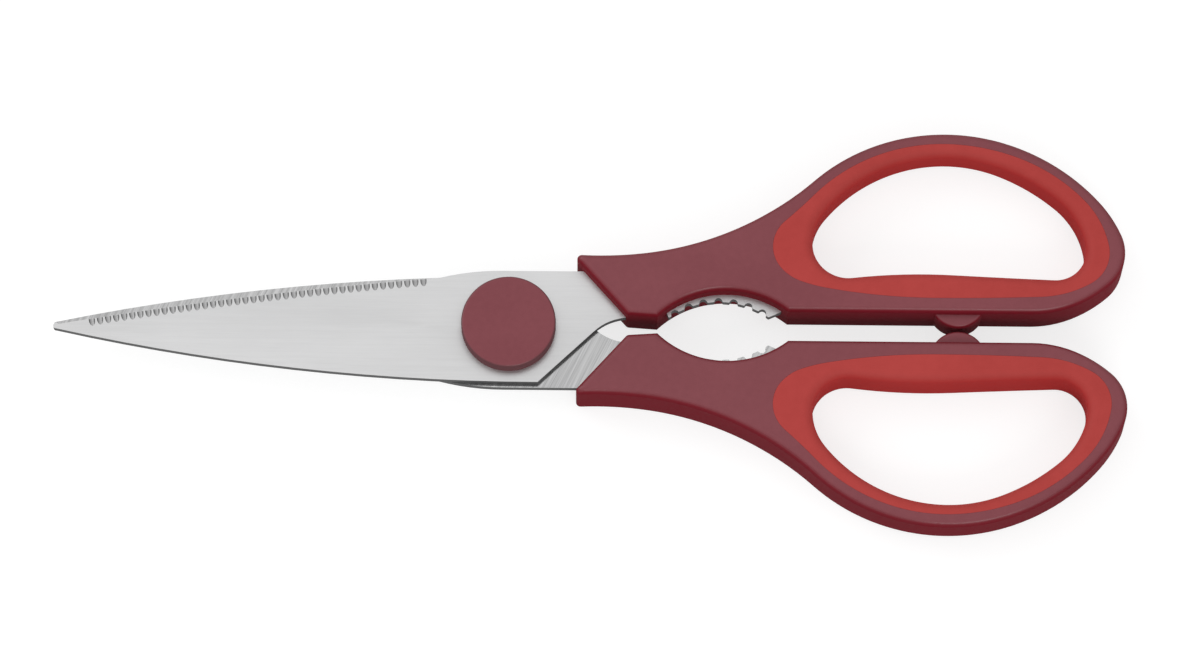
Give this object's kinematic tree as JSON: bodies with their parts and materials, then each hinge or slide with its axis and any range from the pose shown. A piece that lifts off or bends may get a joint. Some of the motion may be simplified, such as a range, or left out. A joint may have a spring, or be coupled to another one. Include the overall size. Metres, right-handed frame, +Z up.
{
  "type": "kitchen shears",
  "caption": "Kitchen shears with a finely serrated blade, toothed nutcracker jaws between the handles, a round pivot cap and soft rings in the finger bows.",
  "frame": {"origin": "on the surface the closed shears lie on, under the middle of their whole length", "axes": "+X from the blade tips to the finger bows, +Y towards the upper handle, +Z up from the surface they lie on"},
  "size_m": [0.21, 0.0804, 0.0108],
  "materials": {
    "blade_steel": "pale satin stainless steel, fine lengthwise grain, ground stripes on the inner faces",
    "handle_plastic": "dark red hard plastic with a fine satin grain",
    "soft_grip": "lighter red soft moulding, matte",
    "pivot_steel": "turned steel",
    "washer_plastic": "off-white plastic"
  },
  "bodies": {
    "lower_half": {"rear_blade": "blade_steel", "lower_handle": "handle_plastic", "lower_grip": "soft_grip", "pivot_screw": "pivot_steel", "pivot_nut": "pivot_steel", "bearing_washer": "washer_plastic", "spring_washer": "pivot_steel", "pivot_cap": "handle_plastic"},
    "upper_half": {"front_blade": "blade_steel", "upper_handle": "handle_plastic", "upper_grip": "soft_grip"}
  },
  "joints": [
    {"name": "blade_pivot", "type": "hinge", "parent": "lower_half", "child": "upper_half", "pos_m": [-0.0158, 0.00042, 0.0054], "axis": [0, 0, 1], "range_deg": [0, 97]}
  ]
}
